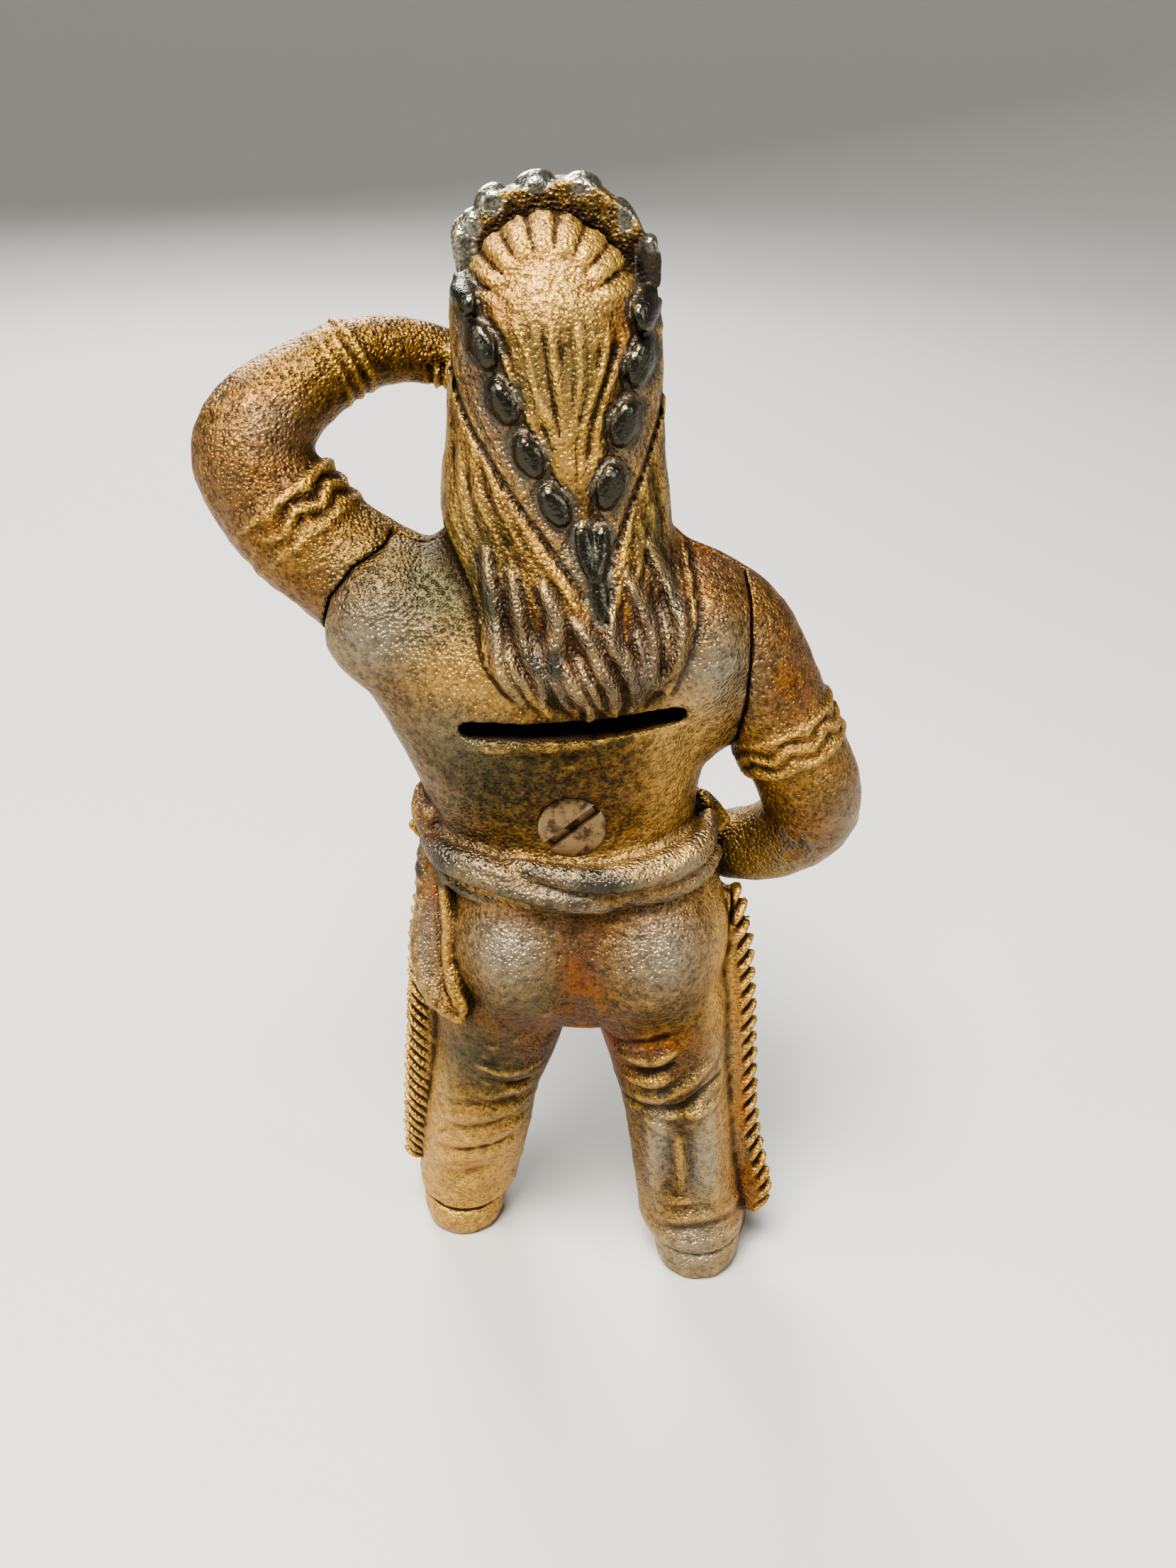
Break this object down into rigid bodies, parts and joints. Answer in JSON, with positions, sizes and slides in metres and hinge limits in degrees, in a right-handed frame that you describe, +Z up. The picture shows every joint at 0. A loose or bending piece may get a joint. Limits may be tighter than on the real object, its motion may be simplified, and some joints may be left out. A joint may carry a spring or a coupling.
{
  "type": "figural still bank",
  "caption": "Cast-iron coin bank: a standing figure in a feather bonnet, one arm raised to the brow, in two hollow halves joined by a screw, with a coin slot in the back.",
  "frame": {"origin": "centre of the bounding box's footprint, on the surface that the soles stand on", "axes": "+Z up through the figure; the face looks along -Y; the coin slot and the screw are on the +Y side; the raised arm, the figure's left, is on the +X side"},
  "size_m": [0.0782, 0.0398, 0.149],
  "materials": {
    "front_casting": "worn gold paint over dark iron, with reddish and dark patches",
    "rear_casting": "worn gold paint over dark iron, with greenish-grey and reddish patches",
    "assembly_screw": "scratched, dulled steel"
  },
  "bodies": {
    "front": {"front_casting": "front_casting"},
    "rear": {"rear_casting": "rear_casting"},
    "screw": {"assembly_screw": "assembly_screw"}
  },
  "joints": [
    {"name": "rear_casting_draws_off", "type": "slide", "parent": "front", "child": "rear", "axis": [0, 1, 0], "range_m": [0, 0.036]},
    {"name": "screw_backs_out", "type": "slide", "parent": "rear", "child": "screw", "axis": [0, 1, 0], "range_m": [0, 0.022]}
  ]
}
